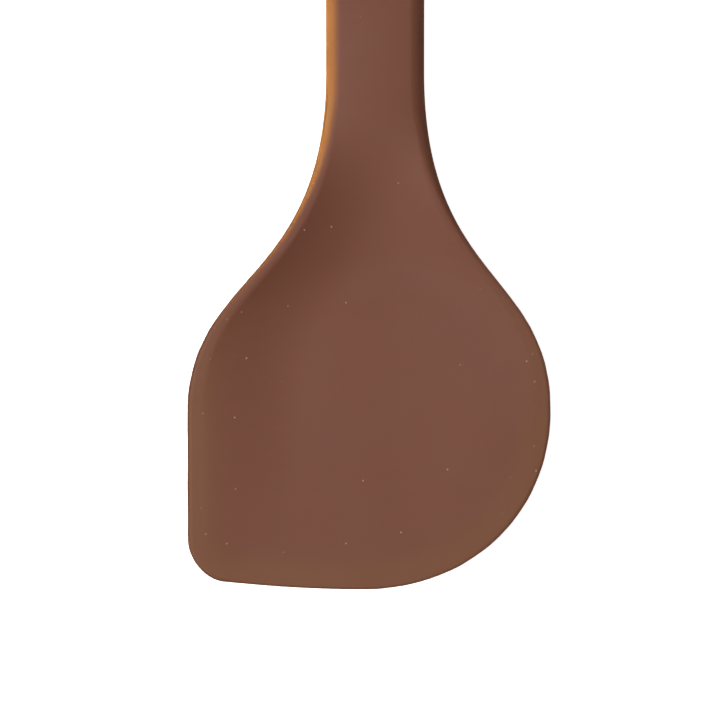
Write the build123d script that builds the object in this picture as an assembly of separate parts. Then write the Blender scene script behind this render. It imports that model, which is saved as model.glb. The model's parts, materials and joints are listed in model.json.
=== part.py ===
from build123d import *
from math import cos, radians
import os

# Silicone scraper spatula moulded over one hidden stiffening core.
# It lies on its back: blade tip toward -Y, hanging end toward +Y, scooped front up.
# The origin is on the table, under the middle of the overall length and width.
# Inside the functions "up" is the distance from the blade tip along the handle
# and "across" is the distance from the handle's centre line.

# Overall sizes, mm
total_length = 280.0
blade_left = 31.0
blade_right = 29.0
neck_width = 16.2
handle_end_width = 18.8
handle_height = 8.0
crown = 0.45

# Blade outline
flare_top = 85.5
left_foot = 29.0
right_foot = 29.5
flare_lead = 0.625
flare_tail = 0.42
tip_across = -2.0
corner_across = 6.0
corner_up = 8.5
bottom_rise = 1.3
round_pull_tip = 0.59
round_pull_side = 0.56

# Blade thickness, scoop and belly
tip_thickness = 1.2
tip_run_out = 6.0
floor_thickness = 2.4
floor_full = 35.0
scoop_start = 50.0
scoop_end = 82.0
scoop_wall_left = 18.0
scoop_wall_right = 26.0
scoop_rise_right = 0.6
handle_wall = 8.0
lip_width = 2.2
lip_width_low = 3.0
lip_softness_low = 1.2
belly_rise = 2.0
belly_full = 50.0
rim_growth = 1.4
rim_rounding = 1.0
handle_rounding = 2.4
handle_rounding_run = 24.0
back_crown = 0.25
parting_trim = 0.12

# Hanging hole
hang_hole_diameter = 8.0
hang_hole_from_end = 11.0
hang_hole_edge = 0.8

# Stiffening core
core_inset = 12.0
core_foot = 20.0
paddle_bottom = 0.85
paddle_thickness = 0.6
bar_width = 9.0
bar_bottom = 2.0
bar_thickness = 4.5
eye_wall = 1.8
eye_clearance = 1.4
paddle_corner = 7.0
key_hole_diameter = 6.0
key_hole_up = 14.0
key_hole_across = (-12.0, -0.5, 11.0)
key_slot_length = 14.0
key_slot_width = 3.5
key_slot_count = 4

# Places that follow from the sizes above
shift_x = (blade_left - blade_right) / 2
shift_y = -total_length / 2
end_radius = handle_end_width / 2
end_centre = total_length - end_radius
hang_hole_up = total_length - hang_hole_from_end
eye_inner = hang_hole_diameter / 2 + eye_clearance
eye_outer = eye_inner + eye_wall
key_slot_pitch = (hang_hole_up - scoop_end) / (key_slot_count + 1)


def ramp(value, start, stop):
    """0 up to start, 1 from stop on, with a smooth change between."""
    part = min(max((value - start) / (stop - start), 0.0), 1.0)
    return part * part * (3 - 2 * part)


def spot(across, up, height=0.0):
    """A point of the shared frame."""
    return (across + shift_x, up + shift_y, height)


def shoulder_points(half_neck, reach, top, foot):
    """Control points of a shoulder: distance from the centre line, distance up."""
    drop = top - foot
    return [
        (half_neck, top),
        (half_neck, top - flare_lead * drop),
        (reach, foot + flare_tail * drop),
        (reach, foot),
    ]


def half_width(up, reach, foot):
    """Distance from the centre line to the outline on one side."""
    if up >= flare_top:
        grow = ramp(up, flare_top, end_centre)
        return (neck_width + (handle_end_width - neck_width) * grow) / 2
    if up <= foot:
        return reach
    points = shoulder_points(neck_width / 2, reach, flare_top, foot)
    low = 0.0
    high = 1.0
    for _ in range(40):
        t = (low + high) / 2
        weights = [(1 - t) ** 3, 3 * t * (1 - t) ** 2, 3 * t * t * (1 - t), t**3]
        height = sum(w * p[1] for w, p in zip(weights, points))
        if height > up:
            low = t
        else:
            high = t
    return sum(w * p[0] for w, p in zip(weights, points))


def rim_height(up):
    """Height of the front along the rim, rising fastest near the tip."""
    grow = 1 - (1 - min(up / flare_top, 1.0)) ** rim_growth
    return tip_thickness + (handle_height - tip_thickness) * grow


def lip_distance(up):
    """Distance from the outline to the lip, where the front starts to fall or arch."""
    low = (lip_width_low - lip_width) * (1 - ramp(up, 15, scoop_start))
    neck = (lip_width - rim_rounding) * ramp(up, scoop_end - 10, flare_top)
    return lip_width + low - neck


def edge_rounding(up):
    """Width of the rounded edge, measured in from the outline."""
    start = flare_top - 0.8 * handle_rounding_run
    grow = ramp(up, start, start + handle_rounding_run)
    return rim_rounding + (handle_rounding - rim_rounding) * grow


def front_height(up, inside, half, scoop_wall, scoop_rise):
    """Height of the front at a distance inside the outline, before rounding."""
    rim = rim_height(up)
    floor = tip_thickness + (floor_thickness - tip_thickness) * ramp(up, 0, floor_full)
    floor += (handle_height + crown - floor_thickness) * ramp(up, scoop_start, scoop_end)
    wall = scoop_wall + (handle_wall - scoop_wall) * ramp(up, scoop_start, scoop_end)
    wall = min(wall, half)
    lip = lip_distance(up)
    rise = scoop_rise + (1 - scoop_rise) * ramp(up, scoop_start, scoop_end)
    soft = lip_softness_low * (1 - ramp(up, left_foot, scoop_start))
    part = min(max((inside - lip) / (wall - lip), 0.0), 1.0)
    return floor + rise * (rim - floor) * (1 - part) ** 2 * (1 + soft * part)


def back_height(up, inside, half):
    """Height of the back at a distance inside the outline, before rounding."""
    rise = belly_rise * ramp(up, 0, belly_full) * (1 - ramp(up, belly_full, scoop_end))
    part = min(inside / (0.75 * half), 1.0)
    return (rise + back_crown) * (1 - part) ** 2 - back_crown


def parting_height(up):
    """Height of the mould's parting line round the outline."""
    return (rim_height(up) + back_height(up, 0, 1) + back_crown) / 2


def insides(up, half):
    """Distances inside the outline for one half section, outline to centre line."""
    rounding = edge_rounding(up)
    near = [rounding * (1 - cos(radians(angle))) for angle in (0, 25, 50, 72)]
    crowd = 1.6 - 0.6 * ramp(up, 45, flare_top)
    steps = 8
    far = [rounding + (half - rounding) * (i / steps) ** crowd for i in range(steps + 1)]
    return rounding, near + far


def half_section(up, side):
    """Front and back points of one half section, from the outline to the centre."""
    reach, foot, wall, rise = (blade_left, left_foot, scoop_wall_left, 1.0)
    if side > 0:
        reach, foot, wall, rise = (blade_right, right_foot, scoop_wall_right, scoop_rise_right)
    half = half_width(up, reach, foot) + parting_trim
    middle = parting_height(up)
    rounding, distances = insides(up, half)
    front = []
    back = []
    for inside in distances:
        part = min(inside / rounding, 1.0)
        swell = (1 - (1 - part) ** 2) ** 0.5
        across = side * (half - inside)
        top = middle + (front_height(up, inside, half, wall, rise) - middle) * swell
        bottom = middle - (middle - back_height(up, inside, half)) * swell
        front.append(spot(across, up, top))
        back.append(spot(across, up, bottom))
    return front, back


def section(up):
    """Closed cross section of the body, a little wider than the outline."""
    left_front, left_back = half_section(up, -1)
    right_front, right_back = half_section(up, 1)
    steps = [1.5] * 4 + [1.0] * 16 + [1.5] * 4
    spacing = [sum(steps[:i]) for i in range(len(steps) + 1)]
    front = left_front + right_front[-2::-1]
    back = left_back + right_back[-2::-1]
    front_edge = Edge.make_spline(front, parameters=spacing)
    back_edge = Edge.make_spline(back, parameters=spacing)
    return Face(Wire([front_edge, back_edge]))


def swept(start, stop, steps):
    """Smooth run of the body through evenly spaced cross sections."""
    stations = [start + i * (stop - start) / steps for i in range(steps + 1)]
    return Solid.make_loft([section(up).outer_wire() for up in stations])


def outline():
    """Flat outline of the whole spatula."""
    neck = neck_width / 2
    left = shoulder_points(neck, blade_left, flare_top, left_foot)
    right = shoulder_points(neck, blade_right, flare_top, right_foot)
    corner_start = (corner_across - blade_left, bottom_rise)
    sag = 2 * bottom_rise / (corner_start[0] - tip_across)
    bottom_middle = ((corner_start[0] + tip_across) / 2, 0)
    corner_pull = 0.55 * corner_across
    round_across = blade_right - tip_across
    grow = (end_centre - flare_top) / 3
    handle_left = [
        (-end_radius, end_centre),
        (-end_radius, end_centre - grow),
        (-neck, flare_top + grow),
        (-neck, flare_top),
    ]
    curves = [
        Bezier(*[spot(*p) for p in handle_left]),
        Bezier(*[spot(-p[0], p[1]) for p in left]),
        Line(spot(-blade_left, left_foot), spot(-blade_left, corner_up)),
        Bezier(
            spot(-blade_left, corner_up),
            spot(-blade_left, corner_up * 0.58),
            spot(corner_start[0] - corner_pull, corner_start[1] - corner_pull * sag),
            spot(*corner_start),
        ),
        Bezier(spot(*corner_start), spot(*bottom_middle), spot(tip_across, 0)),
        Bezier(
            spot(tip_across, 0),
            spot(tip_across + round_pull_tip * round_across, 0),
            spot(blade_right, right_foot * (1 - round_pull_side)),
            spot(blade_right, right_foot),
        ),
        Bezier(*[spot(*p) for p in reversed(right)]),
        Bezier(*[spot(-p[0], p[1]) for p in reversed(handle_left)]),
        ThreePointArc(
            spot(end_radius, end_centre),
            spot(0, total_length),
            spot(-end_radius, end_centre),
        ),
    ]
    return Face(Wire(curves))


def rounded_end():
    """Half dome that closes the handle, turned from its last section."""
    half = section(end_centre) & Pos(*spot(50, end_centre)) * Box(100, 1, 100)
    axis = Axis(spot(0, end_centre), (0, 0, 1))
    return revolve(half.faces(), axis, 180)


def blank():
    """The moulding before the core and the hanging hole are taken out."""
    blade = swept(-tip_run_out, flare_top, 20)
    handle = swept(flare_top, end_centre, 6)
    plan = extrude(outline(), handle_height + 2 * crown + 1)
    return (blade + handle + rounded_end()) & plan


def upright(diameter, across, up):
    """A long vertical cylinder that cuts a hole through a piece."""
    return Pos(*spot(across, up)) * Cylinder(diameter / 2, 4 * handle_height)


def hole_mouths(body):
    """Front and back edges of the hanging hole."""
    centre = spot(0, hang_hole_up)
    mouths = []
    for edge in body.edges():
        middle = edge.position_at(0.5)
        reach = ((middle.X - centre[0]) ** 2 + (middle.Y - centre[1]) ** 2) ** 0.5
        upright_seam = edge.geom_type == GeomType.LINE
        if abs(reach - hang_hole_diameter / 2) < 0.01 and not upright_seam:
            mouths.append(edge)
    return mouths


def silicone_body(core):
    """The whole visible moulding, with the room the core fills."""
    body = blank() - upright(hang_hole_diameter, 0, hang_hole_up)
    body = fillet(hole_mouths(body), hang_hole_edge)
    return body - core


def core_plan():
    """Core seen from above: paddle in the blade, bar in the handle, eye at the end."""
    left = blade_left - core_inset
    right = blade_right - core_inset
    corners = [
        spot(-left, core_foot),
        spot(right - core_inset, core_foot),
        spot(right, core_foot + core_inset),
        spot(right, right_foot + core_inset),
        spot(bar_width / 2, scoop_end - core_inset),
        spot(-bar_width / 2, scoop_end - core_inset),
        spot(-left, left_foot + core_inset),
    ]
    paddle = Face(Polyline(*corners, close=True).wire())
    paddle = fillet(paddle.vertices(), paddle_corner)
    bar_middle = spot(0, (scoop_start + hang_hole_up) / 2)
    bar = Pos(*bar_middle) * Rectangle(bar_width, hang_hole_up - scoop_start)
    eye = Pos(*spot(0, hang_hole_up)) * Circle(eye_outer)
    return paddle + bar + eye


def core_side():
    """Core seen from the side: thin in the blade, stepping up into the handle."""
    top = paddle_bottom + paddle_thickness
    bar_top = bar_bottom + bar_thickness
    back = total_length
    half = (scoop_end - scoop_start) / 2
    lower = Bezier(
        spot(0, scoop_start, paddle_bottom),
        spot(0, scoop_start + half, paddle_bottom),
        spot(0, scoop_end - half, bar_bottom),
        spot(0, scoop_end, bar_bottom),
    )
    upper = Bezier(
        spot(0, scoop_end, bar_top),
        spot(0, scoop_end - half, bar_top),
        spot(0, scoop_start + half, top),
        spot(0, scoop_start, top),
    )
    edges = [
        Line(spot(0, 0, paddle_bottom), spot(0, scoop_start, paddle_bottom)),
        lower,
        Line(spot(0, scoop_end, bar_bottom), spot(0, back, bar_bottom)),
        Line(spot(0, back, bar_bottom), spot(0, back, bar_top)),
        Line(spot(0, back, bar_top), spot(0, scoop_end, bar_top)),
        upper,
        Line(spot(0, scoop_start, top), spot(0, 0, top)),
        Line(spot(0, 0, top), spot(0, 0, paddle_bottom)),
    ]
    return Face(Wire(edges))


def stiffening_core():
    """One-piece moulded core with the holes that lock the silicone to it."""
    plan = extrude(core_plan(), handle_height)
    side = extrude(core_side(), blade_left + blade_right, dir=(1, 0, 0), both=True)
    core = plan & side
    core -= upright(2 * eye_inner, 0, hang_hole_up)
    for across in key_hole_across:
        core -= upright(key_hole_diameter, across, core_foot + key_hole_up)
    for i in range(key_slot_count):
        middle = spot(0, scoop_end + (i + 1) * key_slot_pitch)
        slot = SlotOverall(key_slot_length, key_slot_width, rotation=90)
        core -= Pos(*middle) * extrude(slot, 4 * handle_height, both=True)
    return core


core = stiffening_core()
parts = {
    "silicone_body": silicone_body(core),
    "stiffening_core": core,
}
os.makedirs("parts", exist_ok=True)
for name, part in parts.items():
    export_step(part, f"parts/{name}.step")
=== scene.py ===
"""Looks of a one-piece silicone scraper spatula, laid out as a Blender add-on."""

import json
import math

import bmesh
import bpy
import numpy as np
from bpy.props import FloatProperty, FloatVectorProperty, IntProperty, PointerProperty
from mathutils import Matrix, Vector


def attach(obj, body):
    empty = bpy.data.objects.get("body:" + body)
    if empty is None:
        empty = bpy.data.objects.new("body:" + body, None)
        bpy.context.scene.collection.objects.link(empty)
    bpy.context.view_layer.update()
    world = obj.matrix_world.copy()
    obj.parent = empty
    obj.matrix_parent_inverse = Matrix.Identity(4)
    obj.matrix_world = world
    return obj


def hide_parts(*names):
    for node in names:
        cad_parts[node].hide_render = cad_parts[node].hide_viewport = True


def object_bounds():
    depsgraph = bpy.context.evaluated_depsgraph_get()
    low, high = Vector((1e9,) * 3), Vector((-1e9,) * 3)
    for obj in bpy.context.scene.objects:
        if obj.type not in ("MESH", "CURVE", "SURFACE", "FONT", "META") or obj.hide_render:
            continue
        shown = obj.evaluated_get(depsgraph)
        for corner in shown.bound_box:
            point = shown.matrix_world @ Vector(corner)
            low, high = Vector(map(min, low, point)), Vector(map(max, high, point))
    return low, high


bl_info = {
    "name": "Silicone Scraper Spatula",
    "version": (1, 0, 0),
    "blender": (4, 5, 0),
    "location": "3D View > Sidebar > Spatula",
    "description": "Makes a moulded silicone scraper spatula round its stiffening core",
    "category": "Object",
}

MM = 0.001
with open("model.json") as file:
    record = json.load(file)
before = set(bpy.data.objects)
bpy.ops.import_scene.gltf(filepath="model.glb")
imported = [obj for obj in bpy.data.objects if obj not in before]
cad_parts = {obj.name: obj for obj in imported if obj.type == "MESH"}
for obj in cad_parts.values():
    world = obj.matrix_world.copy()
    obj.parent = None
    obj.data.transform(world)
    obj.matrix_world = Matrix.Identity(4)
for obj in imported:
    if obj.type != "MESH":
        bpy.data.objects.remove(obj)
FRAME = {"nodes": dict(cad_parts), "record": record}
CAD_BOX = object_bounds()
TOTAL_LENGTH = CAD_BOX[1].y - CAD_BOX[0].y
HANG_HOLE = next(m for m in FRAME["record"]["mounts"] if m["name"] == "hang_hole")
HOLE_RADIUS = HANG_HOLE["dims"]["r_mm"] * MM

# Steps of the skin's mesh along each stretch of the outline.
ROWS = 190
PATCH_STEPS = 30
COLUMNS = 40
END_STEPS = 14
DOME_STEPS = 30
EDGE_RINGS = 8
LIP_RINGS = 6
HOLE_RINGS = 6
MOUTH_RINGS = 5
# Steps of the curves and lines that the outline is read from.
CURVE_STEPS = 160
HANDLE_STEPS = 80
SIDE_STEPS = 29
SHOULDER_STEPS = 8


def linear(hex_colour):
    """sRGB hex text to a linear colour with alpha."""
    parts = [int(hex_colour[i : i + 2], 16) / 255 for i in (0, 2, 4)]
    return tuple(v / 12.92 if v < 0.04045 else ((v + 0.055) / 1.055) ** 2.4 for v in parts) + (1.0,)


def length(name, description, metres):
    """A length property, shown in the scene's unit."""
    return FloatProperty(
        name=name, description=description, default=metres, min=0.0, precision=5, unit="LENGTH"
    )


def colour(name, description, hex_colour):
    """A colour property that starts at an sRGB hex value."""
    return FloatVectorProperty(
        name=name,
        description=description,
        default=linear(hex_colour),
        size=4,
        min=0.0,
        max=1.0,
        subtype="COLOR",
    )


class SpatulaSizes(bpy.types.PropertyGroup):
    """Sizes of the moulding."""

    total_length: length("Total length", "Blade tip to hanging end", TOTAL_LENGTH)
    blade_left: length("Straight side", "Handle's centre line to the straight edge", 31 * MM)
    blade_right: length("Round side", "Handle's centre line to the round edge", 29 * MM)
    neck_width: length("Neck width", "Handle's width where the blade starts", 16.2 * MM)
    end_width: length("End width", "Handle's width at its hanging end", 18.8 * MM)
    handle_height: length("Handle height", "Height of the handle's sides", 8 * MM)
    crown: length("Crown", "Rise of the handle's front between its sides", 0.45 * MM)
    flare_top: length("Flare top", "Blade tip to where the neck starts to widen", 85.5 * MM)
    left_foot: length("Straight foot", "Blade tip to the foot of the left shoulder", 29 * MM)
    right_foot: length("Round foot", "Blade tip to the foot of the right shoulder", 29.5 * MM)
    tip_thickness: length("Tip thickness", "Thickness along the blade's tip", 1.2 * MM)
    tip_rounding: length("Tip rounding", "Rounding of the blade's thin edge", 0.55 * MM)
    rim_rounding: length("Rim rounding", "Rounding of the blade's upper rim", 1 * MM)
    handle_rounding: length("Handle rounding", "Rounding of the handle's sides", 2.4 * MM)
    floor_thickness: length("Floor thickness", "Thickness of the scoop's floor", 2.4 * MM)
    lip_width: length("Lip width", "Outline to the scoop's lip near the neck", 2.2 * MM)
    lip_width_low: length("Low lip width", "Outline to the scoop's lip near the tip", 3 * MM)
    belly_rise: length("Belly rise", "Height of the back's rim above the table", 2 * MM)
    back_crown: length("Back crown", "Hollow that the table's plane trims off the back", 0.25 * MM)
    hole_radius: length("Hole radius", "Radius of the hanging hole", HOLE_RADIUS)
    hole_edge: length("Hole edge", "Rounding of the hanging hole's mouths", 0.8 * MM)
    bead_radius: length("Bead radius", "Half width of the mould's parting line", 0.09 * MM)
    bead_spacing: length("Bead spacing", "Distance between points along the parting line", 0.8 * MM)
    bead_seed: IntProperty(name="Bead seed", description="Moves the parting line's nicks", default=3)


class SpatulaFinish(bpy.types.PropertyGroup):
    """Colours and surfaces."""

    silicone: colour("Silicone", "Pigmented silicone", "6A4133")
    silicone_drift: colour("Silicone drift", "Tint where the pigment is a little thinner", "6F4533")
    # Painted light: paler, yellower colour painted where light would come through the blade's edge.
    silicone_thin: colour("Thin silicone", "Where light comes through the blade's edge", "6F4832")
    lint: colour("Lint", "Specks of dust that silicone picks up", "B49A86")
    roughness: FloatProperty(
        name="Roughness", description="Satin of the mould's finish", default=0.62, min=0.0, max=1.0
    )
    nylon: colour("Nylon", "Glass-filled nylon of the core", "A0978A")
    nylon_fibre: colour("Nylon fibre", "Pale flecks of glass fibre in the nylon", "B4AC9E")
    table: colour("Table", "Studio table", "F6F6F6")


def add_node(tree, kind, settings=None, links=None):
    """Adds a node, sets its properties and sockets by name, and links its inputs."""
    node = tree.nodes.new(kind)
    for name, value in (settings or {}).items():
        if name in node.inputs:
            node.inputs[name].default_value = value
        else:
            setattr(node, name, value)
    for name, socket in (links or {}).items():
        tree.links.new(socket, node.inputs[name])
    return node


def ramp(value, start, stop):
    """0 up to start, 1 from stop on, with a smooth change between."""
    part = np.clip((value - start) / (stop - start), 0, 1)
    return part * part * (3 - 2 * part)


def bezier(points, steps=CURVE_STEPS):
    """Points along a quadratic or cubic curve."""
    t = np.linspace(0, 1, steps + 1)[:, None]
    if len(points) == 3:
        weights = ((1 - t) ** 2, 2 * t * (1 - t), t * t)
    else:
        weights = ((1 - t) ** 3, 3 * t * (1 - t) ** 2, 3 * t * t * (1 - t), t**3)
    return sum(w * np.array(p, float) for w, p in zip(weights, points))


def spaced(line, steps, turn_weight=4.0):
    """Points along a polyline, closer together where it turns."""
    gaps = np.hypot(*np.diff(line, axis=0).T)
    line = line[np.r_[True, gaps > 1e-6]]
    way = np.diff(line, axis=0)
    heading = np.unwrap(np.arctan2(way[:, 1], way[:, 0]))
    turn = np.abs(np.diff(heading, prepend=heading[0]))
    measure = np.r_[0, np.cumsum(np.hypot(*way.T) + turn_weight * turn)]
    at = np.linspace(0, measure[-1], steps + 1)
    return np.stack([np.interp(at, measure, line[:, i]) for i in (0, 1)], -1)


class Moulding:
    """The moulding's outline and heights, in millimetres.

    "across" is the distance from the handle's centre line, "up" the distance from the blade's tip.
    """

    flare_lead = 0.625
    flare_tail = 0.42
    tip_across = -2.0
    corner_across = 6.0
    corner_up = 8.5
    corner_pull_side = 0.42
    corner_pull_tip = 0.55
    bottom_rise = 1.3
    round_pull_tip = 0.59
    round_pull_side = 0.56
    floor_full = 35.0
    scoop_start = 50.0
    scoop_end = 82.0
    scoop_wall_left = 18.0
    scoop_wall_right = 26.0
    handle_wall = 8.0
    scoop_rise_right = 0.6
    rim_growth = 1.4
    lip_low_start = 15.0
    lip_neck_run = 10.0
    lip_softness_low = 1.2
    rim_rounding_start = 40.0
    rim_rounding_full = 62.0
    rounding_lead = 27.5
    rounding_run = 24.0
    belly_full = 50.0
    belly_reach = 0.75
    # Edge mask of the painted glow and of the edge lint: reach in from the outline, fade up the
    # blade.
    thin_reach = 8.0
    thin_fade_start = 25.0
    thin_fade_end = 60.0
    # Share of the edge's rounding that lies outside the bead.
    bead_depth = 0.15
    # Layout of the mesh.
    below_tip = 9.0
    patch_margin = 2.5
    end_margin = 13.0
    edge_ring_reach = 0.9
    lip_ring_gap_blade = 2.5
    lip_ring_gap_handle = 0.7
    far_inside = 99.0

    def __init__(self, sizes):
        for name in sizes.__annotations__:
            value = getattr(sizes, name)
            setattr(self, name, value / MM if isinstance(value, float) else value)
        self.end_radius = self.end_width / 2
        self.end_centre = self.total_length - self.end_radius
        self.hole_up = HANG_HOLE["pos_m"][1] / MM + self.total_length / 2
        self.shift = np.array([(self.blade_left - self.blade_right) / 2, -self.total_length / 2])
        self.patch_top = max(self.left_foot, self.right_foot) + self.patch_margin
        self.end_bottom = self.hole_up - self.end_margin
        self.sides = {side: self.side_table(side) for side in (-1, 1)}

    def side_table(self, side):
        """Distances up and half widths of one side, from below the tip to the end."""
        reach, foot = self.blade_left, self.left_foot
        if side > 0:
            reach, foot = self.blade_right, self.right_foot
        drop = self.flare_top - foot
        half_neck = self.neck_width / 2
        shoulder = bezier(
            [
                (reach, foot),
                (reach, foot + self.flare_tail * drop),
                (half_neck, self.flare_top - self.flare_lead * drop),
                (half_neck, self.flare_top),
            ]
        )
        up = np.linspace(self.flare_top, self.end_centre, HANDLE_STEPS + 1)[1:]
        grow = ramp(up, self.flare_top, self.end_centre)
        half = half_neck + (self.end_radius - half_neck) * grow
        return np.r_[-self.below_tip, shoulder[:, 1], up], np.r_[reach, shoulder[:, 0], half]

    def half_width(self, across, up):
        """Centre line to outline, on the side that "across" is on."""
        left, right = (np.interp(up, *self.sides[side]) for side in (-1, 1))
        return np.where(across < 0, left, right)

    def inside(self, across, up):
        """Distance in from the outline, across the handle, or radially in the round end."""
        side = self.half_width(across, up) - np.abs(across)
        end = self.end_radius - np.hypot(across, up - self.end_centre)
        return np.where(up > self.end_centre, end, side)

    def rim(self, up):
        """Height of the front along the rim."""
        grow = 1 - (1 - np.clip(up / self.flare_top, 0, 1)) ** self.rim_growth
        return self.tip_thickness + (self.handle_height - self.tip_thickness) * grow

    def lip(self, up):
        """Distance from the outline to the scoop's lip."""
        low = 1 - ramp(up, self.lip_low_start, self.scoop_start)
        neck = ramp(up, self.scoop_end - self.lip_neck_run, self.flare_top)
        wider = (self.lip_width_low - self.lip_width) * low
        return self.lip_width + wider - (self.lip_width - self.rim_rounding) * neck

    def front(self, across, up):
        """Height of the front before its edges are rounded."""
        floor = self.tip_thickness
        floor = floor + (self.floor_thickness - self.tip_thickness) * ramp(up, 0, self.floor_full)
        top = self.handle_height + self.crown - self.floor_thickness
        floor = floor + top * ramp(up, self.scoop_start, self.scoop_end)
        wall = np.where(across < 0, self.scoop_wall_left, self.scoop_wall_right)
        wall = wall + (self.handle_wall - wall) * ramp(up, self.scoop_start, self.scoop_end)
        wall = np.minimum(wall, self.half_width(across, up))
        lip = self.lip(up)
        rise = np.where(across < 0, 1.0, self.scoop_rise_right)
        rise = rise + (1 - rise) * ramp(up, self.scoop_start, self.scoop_end)
        soft = self.lip_softness_low * (1 - ramp(up, self.left_foot, self.scoop_start))
        part = np.clip((self.inside(across, up) - lip) / (wall - lip), 0, 1)
        return floor + rise * (self.rim(up) - floor) * (1 - part) ** 2 * (1 + soft * part)

    def belly(self, up):
        """Height of the back's rim above the table."""
        fall = 1 - ramp(up, self.belly_full, self.scoop_end)
        return self.belly_rise * ramp(up, 0, self.belly_full) * fall

    def back(self, across, up):
        """Height of the back before its edges are rounded."""
        part = self.inside(across, up) / (self.belly_reach * self.half_width(across, up))
        return (self.belly(up) + self.back_crown) * (1 - np.clip(part, 0, 1)) ** 2 - self.back_crown

    def parting(self, up):
        """Height of the mould's parting line."""
        return (self.rim(up) + self.belly(up) + self.back_crown) / 2

    def rounding(self, up):
        """Width of the rounded edge, measured in from the outline."""
        blade = self.rim_rounding - self.tip_rounding
        handle = self.handle_rounding - self.rim_rounding
        start = self.flare_top - self.rounding_lead
        grow = ramp(up, start, start + self.rounding_run)
        rim = ramp(up, self.rim_rounding_start, self.rim_rounding_full)
        return self.tip_rounding + blade * rim + handle * grow

    def place(self, flat, depth, front):
        """Flat points at a depth inside the outline, raised to the front or the back, in metres."""
        across, up = flat[..., 0], flat[..., 1]
        level = np.minimum(up, self.end_centre)
        part = np.clip(depth / self.rounding(level), 0, 1)
        swell = np.sqrt(1 - (1 - part) ** 2)
        middle = self.parting(level)
        face = self.front(across, up) if front else self.back(across, up)
        height = np.maximum(middle + (face - middle) * swell, 0)
        return np.concatenate([flat + self.shift, height[..., None]], -1) * MM

    def blade_edge(self):
        """The blade's edge in three stretches: straight side downwards, tip, round side upwards."""
        left, right = -self.blade_left, self.blade_right
        start = (left + self.corner_across, self.bottom_rise)
        pull = self.corner_pull_tip * self.corner_across
        sag = 2 * self.bottom_rise / (start[0] - self.tip_across)
        corner = bezier(
            [
                (left, self.corner_up),
                (left, self.corner_up * (1 - self.corner_pull_side)),
                (start[0] - pull, start[1] - pull * sag),
                start,
            ]
        )
        bottom = bezier([start, ((start[0] + self.tip_across) / 2, 0), (self.tip_across, 0)])
        width = right - self.tip_across
        round_side = bezier(
            [
                (self.tip_across, 0),
                (self.tip_across + self.round_pull_tip * width, 0),
                (right, self.right_foot * (1 - self.round_pull_side)),
                (right, self.right_foot),
            ]
        )
        straight = np.linspace((left, self.patch_top), (left, self.corner_up), SIDE_STEPS + 1)
        straight[:, 0] = -self.half_width(-1, straight[:, 1])
        shoulder_up = np.linspace(self.right_foot, self.patch_top, SHOULDER_STEPS + 1)
        shoulder = np.stack([self.half_width(1, shoulder_up), shoulder_up], -1)
        middle = len(corner) // 2
        down = np.vstack([straight, corner[: middle + 1]])
        tip = np.vstack([corner[middle:], bottom, round_side[: middle + 1]])
        rise = np.vstack([round_side[middle:], shoulder])
        return spaced(down, PATCH_STEPS), spaced(tip, COLUMNS), spaced(rise, PATCH_STEPS)

    def outline(self):
        """Points round the whole outline, from the upper left down round the blade and up again."""
        up = np.linspace(self.end_bottom, self.patch_top, ROWS + 1)
        left = np.stack([-self.half_width(-1, up), up], -1)
        right = np.stack([self.half_width(1, up), up], -1)[::-1]
        down, tip, rise = self.blade_edge()
        side_up = np.linspace(self.end_bottom, self.end_centre, END_STEPS + 1)
        side = np.stack([self.half_width(1, side_up), side_up], -1)
        angle = np.linspace(0, math.pi, DOME_STEPS + 1)
        turn = np.stack([np.cos(angle), np.sin(angle)], -1)
        dome = turn * self.end_radius + (0, self.end_centre)
        other = (side * (-1, 1))[::-1]
        return np.vstack([s[:-1] for s in (left, down, tip, rise, right, side, dome, other)])


def inward(loop):
    """Unit vectors that point inside a closed loop that runs anticlockwise."""
    ahead = np.roll(loop, -1, 0) - loop
    ahead /= np.linalg.norm(ahead, axis=1)[:, None]
    along = ahead + np.roll(ahead, 1, 0)
    along /= np.linalg.norm(along, axis=1)[:, None]
    return np.stack([-along[:, 1], along[:, 0]], -1)


def patch_between(top, right, bottom, left):
    """Flat grid that fills four edges; top and bottom run left to right, the sides downwards."""
    u = np.linspace(0, 1, len(top))[None, :, None]
    v = np.linspace(0, 1, len(left))[:, None, None]
    rows = (1 - u) * left[:, None] + u * right[:, None]
    columns = (1 - v) * top[None] + v * bottom[None]
    upper = (1 - u) * top[0] + u * top[-1]
    lower = (1 - u) * bottom[0] + u * bottom[-1]
    return rows + columns - ((1 - v) * upper + v * lower)


class QuadMesh:
    """Gathers points and the quads between them."""

    def __init__(self):
        self.points = np.zeros((0, 3))
        self.faces = []

    def add(self, points):
        """Adds a table of points and returns the table of their numbers."""
        first = len(self.points)
        self.points = np.vstack([self.points, points.reshape(-1, 3)])
        return np.arange(first, len(self.points)).reshape(points.shape[:-1])

    def join(self, table, closed=False):
        """Quads between the neighbours in a table of point numbers."""
        table = np.array(table)
        if closed:
            table = np.concatenate([table, table[:, :1]], axis=1)
        corners = (table[:-1, :-1], table[1:, :-1], table[1:, 1:], table[:-1, 1:])
        self.faces += np.stack(corners, -1).reshape(-1, 4).tolist()

    def to_mesh(self, name):
        """The gathered quads as a smooth mesh whose faces point outwards."""
        data = bpy.data.meshes.new(name)
        data.from_pydata(self.points.tolist(), [], self.faces)
        work = bmesh.new()
        work.from_mesh(data)
        bmesh.ops.recalc_face_normals(work, faces=work.faces)
        work.to_mesh(data)
        work.free()
        data.shade_smooth()
        return data


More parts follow.
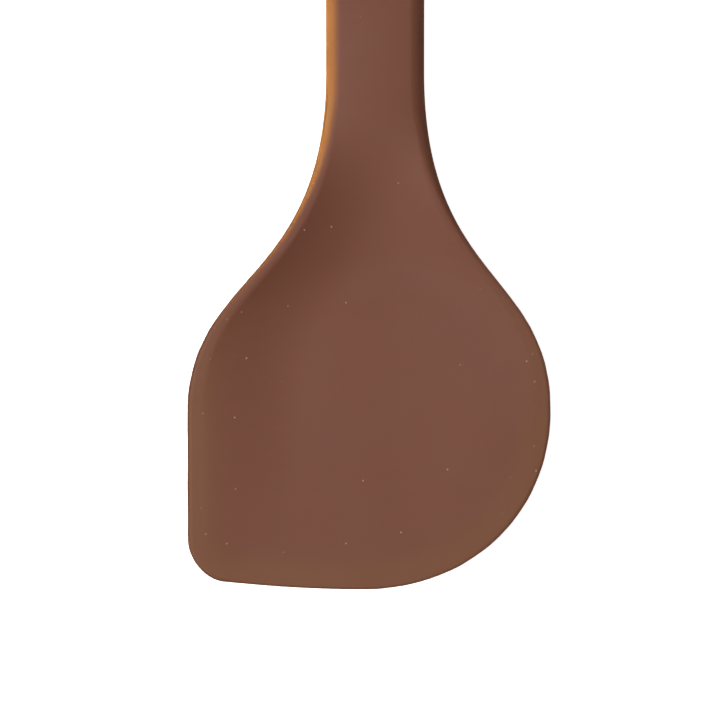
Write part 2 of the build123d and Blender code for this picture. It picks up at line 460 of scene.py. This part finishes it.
def skin_sheet(mould, quads, loop, seam, front):
    """Front or back of the moulding, from the parting line in to the hanging hole's wall."""
    up = loop[:, 1]
    reach = mould.edge_ring_reach * mould.rounding(np.minimum(up, mould.end_centre))
    narrower = mould.lip_ring_gap_blade - mould.lip_ring_gap_handle
    gap = mould.lip_ring_gap_blade - narrower * ramp(up, mould.rim_rounding_start, mould.flare_top)
    turns = np.linspace(0, math.pi / 2, EDGE_RINGS + 1)[1:]
    depths = [reach * (1 - math.cos(turn)) for turn in turns]
    depths += [reach + gap * (i + 1) / LIP_RINGS for i in range(LIP_RINGS)]
    normals = inward(loop)
    rings = [seam]
    for depth in depths:
        rings.append(quads.add(mould.place(loop + normals * depth[:, None], depth, front)))
    quads.join(rings, closed=True)

    flat, ids = loop + normals * depths[-1][:, None], rings[-1]
    stops = np.cumsum([ROWS, PATCH_STEPS, COLUMNS, PATCH_STEPS, ROWS])
    left, down, tip, rise, right = (
        slice(a, b + 1) for a, b in zip(np.r_[0, stops[:-1]], stops)
    )
    share = np.linspace(0, 1, COLUMNS + 1)[1:-1, None]
    far = mould.far_inside

    field = flat[left][:, None] + (flat[right][::-1] - flat[left])[:, None] * share
    field_ids = quads.add(mould.place(field, far, front))
    ladder = np.column_stack([ids[left], field_ids, ids[right][::-1]])
    quads.join(ladder)

    top = np.vstack([flat[left][-1:], field[-1], flat[right][:1]])
    patch = patch_between(top, flat[rise][::-1], flat[tip], flat[down])[1:-1, 1:-1]
    patch_ids = quads.add(mould.place(patch, far, front))
    middle = np.column_stack([ids[down][1:-1], patch_ids, ids[rise][::-1][1:-1]])
    quads.join(np.vstack([ladder[-1], middle, ids[tip]]))

    edge = np.vstack([flat[stops[-1] :], flat[:1], field[0]])
    ring_ids = [np.r_[ids[stops[-1] :], ids[:1], ladder[0][1:-1]]]
    centre = np.array([0, mould.hole_up])
    radius = np.linalg.norm(edge - centre, axis=1)[:, None]
    circle = (edge - centre) / radius
    mouth = mould.hole_radius + mould.hole_edge
    for i in range(1, HOLE_RINGS + 1):
        spots = centre + circle * (radius + (mouth - radius) * i / HOLE_RINGS)
        points = mould.place(spots, mould.inside(spots[:, 0], spots[:, 1]), front)
        ring_ids.append(quads.add(points))
    sink = MM if front else -MM
    for turn in np.linspace(0, math.pi / 2, MOUTH_RINGS + 1)[1:]:
        spots = centre + circle * (mouth - mould.hole_edge * math.sin(turn))
        height = points[:, 2:] - sink * mould.hole_edge * (1 - math.cos(turn))
        ring_ids.append(quads.add(np.hstack([(spots + mould.shift) * MM, height])))
    quads.join(ring_ids, closed=True)
    return ring_ids[-1]


def moulding_mesh(mould):
    """The whole visible moulding as one closed mesh."""
    quads = QuadMesh()
    loop = mould.outline()
    seam = quads.add(mould.place(loop, np.zeros(len(loop)), True))
    walls = [skin_sheet(mould, quads, loop, seam, front) for front in (True, False)]
    quads.join(walls, closed=True)
    data = quads.to_mesh("silicone_skin")
    paint_glow_and_lint_edge(data, mould, loop)
    return data


def paint_glow_and_lint_edge(data, mould, loop):
    """Marks the thin edge for painted light through it and for lint: 1 at the outline, 0 well
    inside.
    """
    flat = np.array([point.co[:2] for point in data.vertices]) / MM - mould.shift
    inside = [np.min(np.linalg.norm(loop - spot, axis=1)) for spot in flat]
    near = 1 - ramp(np.array(inside), 0, mould.thin_reach)
    thin = near * (1 - ramp(flat[:, 1], mould.thin_fade_start, mould.thin_fade_end))
    data.attributes.new("thin_edge", "FLOAT", "POINT").data.foreach_set("value", thin)


def parting_line_mesh(mould):
    """Closed run of edges along the parting line, a little way up the front's rounded edge."""
    loop = mould.outline()
    depth = mould.bead_depth * mould.rounding(np.minimum(loop[:, 1], mould.end_centre))
    points = mould.place(loop + inward(loop) * depth[:, None], depth, True)
    data = bpy.data.meshes.new("parting_line")
    edges = [(i, (i + 1) % len(points)) for i in range(len(points))]
    data.from_pydata(points.tolist(), edges, [])
    return data


def bead_tree():
    """Node tree that turns a run of edges into the uneven bead that a mould's halves leave."""
    tree = bpy.data.node_groups.new("parting line bead", "GeometryNodeTree")
    for name, kind in (
        ("Geometry", "Geometry"),
        ("Bead radius", "Float"),
        ("Point spacing", "Float"),
        ("Seed", "Int"),
        ("Material", "Material"),
    ):
        tree.interface.new_socket(name, in_out="INPUT", socket_type="NodeSocket" + kind)
    tree.interface.new_socket("Geometry", in_out="OUTPUT", socket_type="NodeSocketGeometry")
    given = add_node(tree, "NodeGroupInput").outputs
    curve = add_node(tree, "GeometryNodeMeshToCurve", None, {"Mesh": given["Geometry"]})
    even = add_node(
        tree,
        "GeometryNodeResampleCurve",
        {"mode": "LENGTH"},
        {"Curve": curve.outputs["Curve"], "Length": given["Point spacing"]},
    )
    place = add_node(tree, "GeometryNodeInputPosition")
    # The bead swells and thins every 4 mm or so, and is torn away in places.
    noise = add_node(
        tree,
        "ShaderNodeTexNoise",
        {"noise_dimensions": "4D", "Scale": 1 / (4 * MM), "Detail": 2.0},
        {"Vector": place.outputs["Position"], "W": given["Seed"]},
    )
    swell = add_node(
        tree,
        "ShaderNodeMapRange",
        {"From Min": 0.3, "From Max": 0.75, "To Min": 0.2, "To Max": 1.7},
        {"Value": noise.outputs["Fac"]},
    )
    ring = add_node(
        tree,
        "GeometryNodeCurvePrimitiveCircle",
        {"Resolution": 6},
        {"Radius": given["Bead radius"]},
    )
    tube = add_node(
        tree,
        "GeometryNodeCurveToMesh",
        None,
        {
            "Curve": even.outputs["Curve"],
            "Profile Curve": ring.outputs["Curve"],
            "Scale": swell.outputs["Result"],
        },
    )
    smooth = add_node(tree, "GeometryNodeSetShadeSmooth", None, {"Geometry": tube.outputs["Mesh"]})
    real = add_node(
        tree, "GeometryNodeRealizeInstances", None, {"Geometry": smooth.outputs["Geometry"]}
    )
    painted = add_node(
        tree,
        "GeometryNodeSetMaterial",
        None,
        {"Geometry": real.outputs["Geometry"], "Material": given["Material"]},
    )
    add_node(tree, "NodeGroupOutput", None, {"Geometry": painted.outputs["Geometry"]})
    return tree


def new_object(name, data):
    """A new object at the origin of the scene."""
    made = bpy.data.objects.new(name, data)
    bpy.context.scene.collection.objects.link(made)
    return made


def applied(made, tree, values):
    """The plain mesh that a node tree makes of an object, with the tree's inputs set by name."""
    modifier = made.modifiers.new(tree.name, "NODES")
    modifier.node_group = tree
    sockets = {s.name: s.identifier for s in tree.interface.items_tree if s.in_out == "INPUT"}
    for name, value in values.items():
        modifier[sockets[name]] = value
    solid = made.evaluated_get(bpy.context.evaluated_depsgraph_get())
    data = bpy.data.meshes.new_from_object(solid)
    made.modifiers.remove(modifier)
    made.data = data
    return made


def new_material(name):
    """An empty node material and its coordinates."""
    made = bpy.data.materials.new(name)
    made.use_nodes = True
    made.node_tree.nodes.clear()
    place = add_node(made.node_tree, "ShaderNodeTexCoord").outputs["Object"]
    return made, made.node_tree, place


def lint_grains(tree, place, cell, least):
    """One grain in each cell whose random value is over the least.

    Real lint is finer. It is drawn 0.15 to 0.35 mm wide so that it shows.
    """
    cells = add_node(
        tree,
        "ShaderNodeTexVoronoi",
        {"voronoi_dimensions": "2D", "Scale": 1 / cell},
        {"Vector": place},
    )
    grain = add_node(
        tree,
        "ShaderNodeMapRange",
        {"From Min": 0.07 * MM / cell, "From Max": 0.18 * MM / cell, "To Min": 1.0, "To Max": 0.0},
        {"Value": cells.outputs["Distance"]},
    )
    chosen = add_node(
        tree,
        "ShaderNodeMapRange",
        {"From Min": least, "From Max": 0.9, "To Min": 0.0, "To Max": 0.9},
        {"Value": cells.outputs["Color"]},
    )
    return add_node(
        tree,
        "ShaderNodeMath",
        {"operation": "MULTIPLY"},
        {0: grain.outputs["Result"], 1: chosen.outputs["Result"]},
    ).outputs["Value"]


def moulded_silicone():
    """Moulded pigmented silicone: satin, a little light under the skin, painted edge glow, lint on
    it.
    """
    if "moulded silicone" in bpy.data.materials:
        return bpy.data.materials["moulded silicone"]
    finish = bpy.context.scene.spatula_finish
    made, tree, place = new_material("moulded silicone")
    # Pigment drifts slowly, over about 30 mm.
    drift = add_node(
        tree, "ShaderNodeTexNoise", {"Scale": 1 / (30 * MM), "Detail": 3.0}, {"Vector": place}
    )
    body = add_node(
        tree,
        "ShaderNodeMix",
        {"data_type": "RGBA", "A": finish.silicone, "B": finish.silicone_drift},
        {"Factor": drift.outputs["Fac"]},
    )
    # Painted light: the thin blade edge is painted paler and yellower, as if light came through it.
    thin = add_node(tree, "ShaderNodeAttribute", {"attribute_name": "thin_edge"})
    lit = add_node(
        tree,
        "ShaderNodeMix",
        {"data_type": "RGBA", "B": finish.silicone_thin},
        {"Factor": thin.outputs["Fac"], "A": body.outputs["Result"]},
    )
    # Lint sits on the front and back about 10 mm apart, and gathers 5 mm apart along the thin edge.
    spread_lint = lint_grains(tree, place, 10 * MM, 0.45)
    edge_lint = lint_grains(tree, place, 5 * MM, 0.5)
    gathered = add_node(
        tree,
        "ShaderNodeMath",
        {"operation": "MULTIPLY_ADD"},
        {0: edge_lint, 1: thin.outputs["Fac"], 2: spread_lint},
    )
    dusty = add_node(
        tree,
        "ShaderNodeMix",
        {"data_type": "RGBA", "B": finish.lint},
        {"Factor": gathered.outputs["Value"], "A": lit.outputs["Result"]},
    )
    # Handling leaves the satin a little uneven, over about 9 mm.
    patches = add_node(
        tree, "ShaderNodeTexNoise", {"Scale": 1 / (9 * MM), "Detail": 4.0}, {"Vector": place}
    )
    satin = add_node(
        tree,
        "ShaderNodeMapRange",
        {
            "From Min": 0.3,
            "From Max": 0.7,
            "To Min": finish.roughness - 0.05,
            "To Max": finish.roughness + 0.05,
        },
        {"Value": patches.outputs["Fac"]},
    )
    # The mould's blasted finish, drawn as coarse as 0.35 mm so that it shows.
    texture = add_node(
        tree, "ShaderNodeTexNoise", {"Scale": 1 / (0.35 * MM), "Detail": 2.0}, {"Vector": place}
    )
    relief = add_node(
        tree,
        "ShaderNodeBump",
        {"Strength": 0.12, "Distance": 0.02 * MM},
        {"Height": texture.outputs["Fac"]},
    )
    shader = add_node(
        tree,
        "ShaderNodeBsdfPrincipled",
        {
            "IOR": 1.41,
            "Specular IOR Level": 0.25,
            "Subsurface Weight": 0.15,
            "Subsurface Radius": (1.0, 0.4, 0.15),
            "Subsurface Scale": 1.2 * MM,
        },
        {
            "Base Color": dusty.outputs["Result"],
            "Roughness": satin.outputs["Result"],
            "Normal": relief.outputs["Normal"],
        },
    )
    add_node(tree, "ShaderNodeOutputMaterial", None, {"Surface": shader.outputs["BSDF"]})
    return made


def moulded_nylon():
    """Moulded glass-filled nylon: matt, with pale fibre flecks drawn along the flow."""
    finish = bpy.context.scene.spatula_finish
    made, tree, place = new_material("moulded glass-filled nylon")
    # Flow lines run along the handle: 0.6 mm across, 8 mm long.
    stretch = add_node(tree, "ShaderNodeMapping", {"Scale": (1.0, 0.075, 1.0)}, {"Vector": place})
    fibres = add_node(
        tree,
        "ShaderNodeTexNoise",
        {"Scale": 1 / (0.6 * MM), "Detail": 3.0},
        {"Vector": stretch.outputs["Vector"]},
    )
    tint = add_node(
        tree,
        "ShaderNodeMix",
        {"data_type": "RGBA", "A": finish.nylon, "B": finish.nylon_fibre},
        {"Factor": fibres.outputs["Fac"]},
    )
    matt = add_node(
        tree,
        "ShaderNodeMapRange",
        {"To Min": 0.55, "To Max": 0.7},
        {"Value": fibres.outputs["Fac"]},
    )
    relief = add_node(
        tree,
        "ShaderNodeBump",
        {"Strength": 0.3, "Distance": 0.03 * MM},
        {"Height": fibres.outputs["Fac"]},
    )
    shader = add_node(
        tree,
        "ShaderNodeBsdfPrincipled",
        {"IOR": 1.53},
        {
            "Base Color": tint.outputs["Result"],
            "Roughness": matt.outputs["Result"],
            "Normal": relief.outputs["Normal"],
        },
    )
    add_node(tree, "ShaderNodeOutputMaterial", None, {"Surface": shader.outputs["BSDF"]})
    return made


def table_acrylic():
    """Back-lit white acrylic: a product table that shows almost no shadow."""
    finish = bpy.context.scene.spatula_finish
    made, tree, place = new_material("back-lit acrylic")
    haze = add_node(tree, "ShaderNodeTexNoise", {"Scale": 3.0, "Detail": 1.0}, {"Vector": place})
    matt = add_node(
        tree, "ShaderNodeMapRange", {"To Min": 0.75, "To Max": 0.85}, {"Value": haze.outputs["Fac"]}
    )
    shader = add_node(
        tree,
        "ShaderNodeBsdfPrincipled",
        {
            "Base Color": finish.table,
            "Emission Color": (1.0, 1.0, 1.0, 1.0),
            "Emission Strength": 0.9,
            "Specular IOR Level": 0.1,
        },
        {"Roughness": matt.outputs["Result"]},
    )
    add_node(tree, "ShaderNodeOutputMaterial", None, {"Surface": shader.outputs["BSDF"]})
    return made


def aimed(made, place, target):
    """Puts an object somewhere and turns its -Z to a target."""
    made.location = place
    made.rotation_euler = (Vector(target) - Vector(place)).to_track_quat("-Z", "Y").to_euler()
    return made


def panel_light(name, place, target, size, radiance, tint=(1.0, 1.0, 1.0)):
    """A soft rectangular light of a given brightness, which the camera doesn't see."""
    lamp = bpy.data.lights.new(name, "AREA")
    lamp.shape = "RECTANGLE"
    lamp.size, lamp.size_y = size
    lamp.energy = radiance * math.pi * size[0] * size[1]
    lamp.color = tint
    made = aimed(new_object(name, lamp), place, target)
    made.visible_camera = False
    return made


class SPATULA_OT_skin(bpy.types.Operator):
    """Makes the silicone moulding that covers the whole spatula"""

    bl_idname = "spatula.skin"
    bl_label = "Silicone Skin"

    def execute(self, context):
        mould = Moulding(context.scene.spatula_sizes)
        skin = new_object("silicone_skin", moulding_mesh(mould))
        skin.data.materials.append(moulded_silicone())
        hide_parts("silicone_body")
        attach(skin, "root")
        return {"FINISHED"}


class SPATULA_OT_parting_line(bpy.types.Operator):
    """Makes the fine bead that the mould's two halves leave round the edge"""

    bl_idname = "spatula.parting_line"
    bl_label = "Parting Line"

    def execute(self, context):
        sizes = context.scene.spatula_sizes
        bead = new_object("parting_line", parting_line_mesh(Moulding(sizes)))
        values = {
            "Bead radius": sizes.bead_radius,
            "Point spacing": sizes.bead_spacing,
            "Seed": sizes.bead_seed,
            "Material": moulded_silicone(),
        }
        applied(bead, bead_tree(), values)
        if not bead.data.polygons:
            raise RuntimeError("the parting line came out empty")
        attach(bead, "root")
        return {"FINISHED"}


class SPATULA_OT_core(bpy.types.Operator):
    """Gives the hidden stiffening core its moulded nylon finish"""

    bl_idname = "spatula.core"
    bl_label = "Core Finish"

    def execute(self, context):
        nylon = moulded_nylon()
        for place in FRAME["nodes"]["stiffening_core"].material_slots:
            place.material = nylon
        return {"FINISHED"}


class SPATULA_OT_stage(bpy.types.Operator):
    """Makes the table, the lights, the surroundings and the camera"""

    bl_idname = "spatula.stage"
    bl_label = "Studio"

    def execute(self, context):
        scene = context.scene
        table = bpy.data.meshes.new("table")
        reach = 6.0
        ground = [(-reach, -reach, 0), (reach, -reach, 0), (reach, reach, 0), (-reach, reach, 0)]
        corners = ground + [(x, y, reach) for x, y, _ in ground]
        walls = [(i, i + 4, (i + 1) % 4 + 4, (i + 1) % 4) for i in range(4)]
        table.from_pydata(corners, [], [(0, 1, 2, 3)] + walls)
        table.materials.append(table_acrylic())
        floor = new_object("table", table)
        # A clean background: it shows, but neither lights nor shades the spatula.
        floor.visible_diffuse = False
        floor.visible_glossy = False
        floor.visible_shadow = False

        blade = (0.0, -0.1, 0.0)
        panel_light("key_softbox", (-0.5, -0.1, 0.86), blade, (0.5, 0.5), 15.2)
        panel_light("top_softbox", (0.05, -0.1, 1.3), blade, (0.8, 0.8), 0.8)
        # Warm strips along the handle, dimmer towards its end, gridded to stay off the lower blade.
        strip_length, first_y, warm, grid = 0.06, -0.058, (0.93, 1.0, 0.22), math.radians(22)
        for step, radiance in enumerate((3.8, 2.3, 1.2, 0.5)):
            y = first_y + step * strip_length
            place, size = (-0.11, y, -0.038), (strip_length, 0.08)
            strip = panel_light(f"warm_strip_{step + 1}", place, (0, y, 0), size, radiance, warm)
            strip.data.spread = grid
            # Its mirror image would show as a yellow streak under the blade.
            strip.visible_glossy = False
        rosy = (1.0, 0.7, 0.5)
        panel_light("side_fill", (0.4, -0.05, -0.1), (0, -0.05, 0), (0.7, 0.3), 1.3, rosy)
        panel_light("end_fill", (-0.06, 0.25, 0.05), (0, 0.13, 0.003), (0.12, 0.08), 3.0)

        world = bpy.data.worlds.new("studio")
        world.use_nodes = True
        world.node_tree.nodes["Background"].inputs["Color"].default_value = linear("F2F2F2")
        world.node_tree.nodes["Background"].inputs["Strength"].default_value = 0.12
        scene.world = world
        scene.view_settings.view_transform = "Standard"

        lens = bpy.data.cameras.new("camera")
        camera = new_object("camera", lens)
        distance, view_width, look = 0.7, 0.1188, (-0.001483, -0.10198, 0.004)
        lens.sensor_width = 36
        lens.lens = lens.sensor_width * distance / view_width
        aimed(camera, (look[0], look[1], look[2] + distance), look)
        scene.camera = camera
        return {"FINISHED"}


class SPATULA_PT_panel(bpy.types.Panel):
    """Sizes, finishes and pieces of the spatula"""

    bl_idname = "SPATULA_PT_panel"
    bl_label = "Silicone Spatula"
    bl_space_type = "VIEW_3D"
    bl_region_type = "UI"
    bl_category = "Spatula"

    def draw(self, context):
        layout = self.layout
        for group in (context.scene.spatula_sizes, context.scene.spatula_finish):
            box = layout.box()
            for name in group.__annotations__:
                box.prop(group, name)
        for operator in OPERATORS:
            layout.operator(operator.bl_idname)


GROUPS = (SpatulaSizes, SpatulaFinish)
OPERATORS = (SPATULA_OT_skin, SPATULA_OT_parting_line, SPATULA_OT_core, SPATULA_OT_stage)


def register():
    for made in (*GROUPS, *OPERATORS, SPATULA_PT_panel):
        bpy.utils.register_class(made)
    bpy.types.Scene.spatula_sizes = PointerProperty(type=SpatulaSizes)
    bpy.types.Scene.spatula_finish = PointerProperty(type=SpatulaFinish)


def unregister():
    del bpy.types.Scene.spatula_finish
    del bpy.types.Scene.spatula_sizes
    for made in reversed((*GROUPS, *OPERATORS, SPATULA_PT_panel)):
        bpy.utils.unregister_class(made)


def main():
    register()
    bpy.ops.spatula.skin()
    bpy.ops.spatula.parting_line()
    bpy.ops.spatula.core()
    bpy.ops.spatula.stage()


if __name__ == "__main__":
    main()
